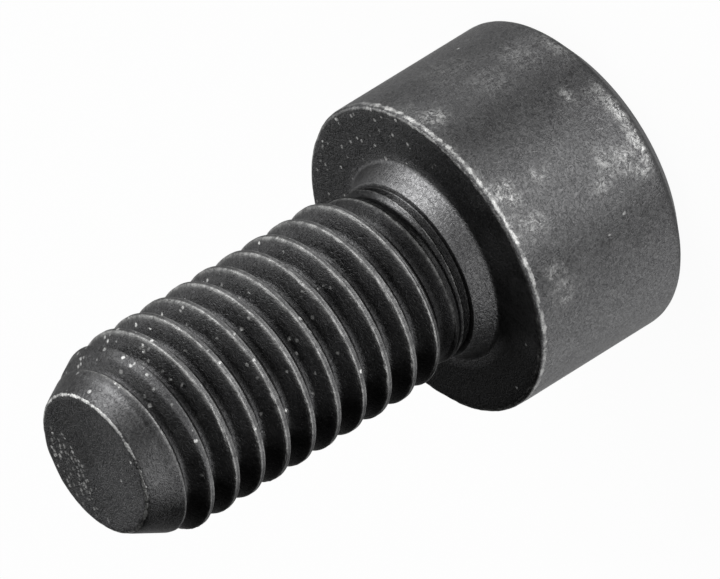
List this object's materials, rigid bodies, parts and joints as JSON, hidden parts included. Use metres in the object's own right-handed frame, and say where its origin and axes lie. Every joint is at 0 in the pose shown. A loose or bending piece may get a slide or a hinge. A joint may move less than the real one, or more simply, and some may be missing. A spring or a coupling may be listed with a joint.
{
  "type": "cylinder head screw",
  "caption": "Hexagon socket head cap screw with a plain round head, a short neck, a coarse metric thread up to the neck and a chamfered tip, in blackened steel.",
  "frame": {"origin": "centre of the head's top face, on which the screw stands", "axes": "+Z along the screw from the head's top face to the tip; +X through a corner of the hexagon socket; +Y across it"},
  "size_m": [0.0128, 0.0128, 0.0241],
  "materials": {
    "blackened_steel": "black oxide with a faint grain, worn bright along the thread crests and the edges of head and tip"
  },
  "bodies": {
    "root": {"screw": "blackened_steel"}
  },
  "joints": []
}
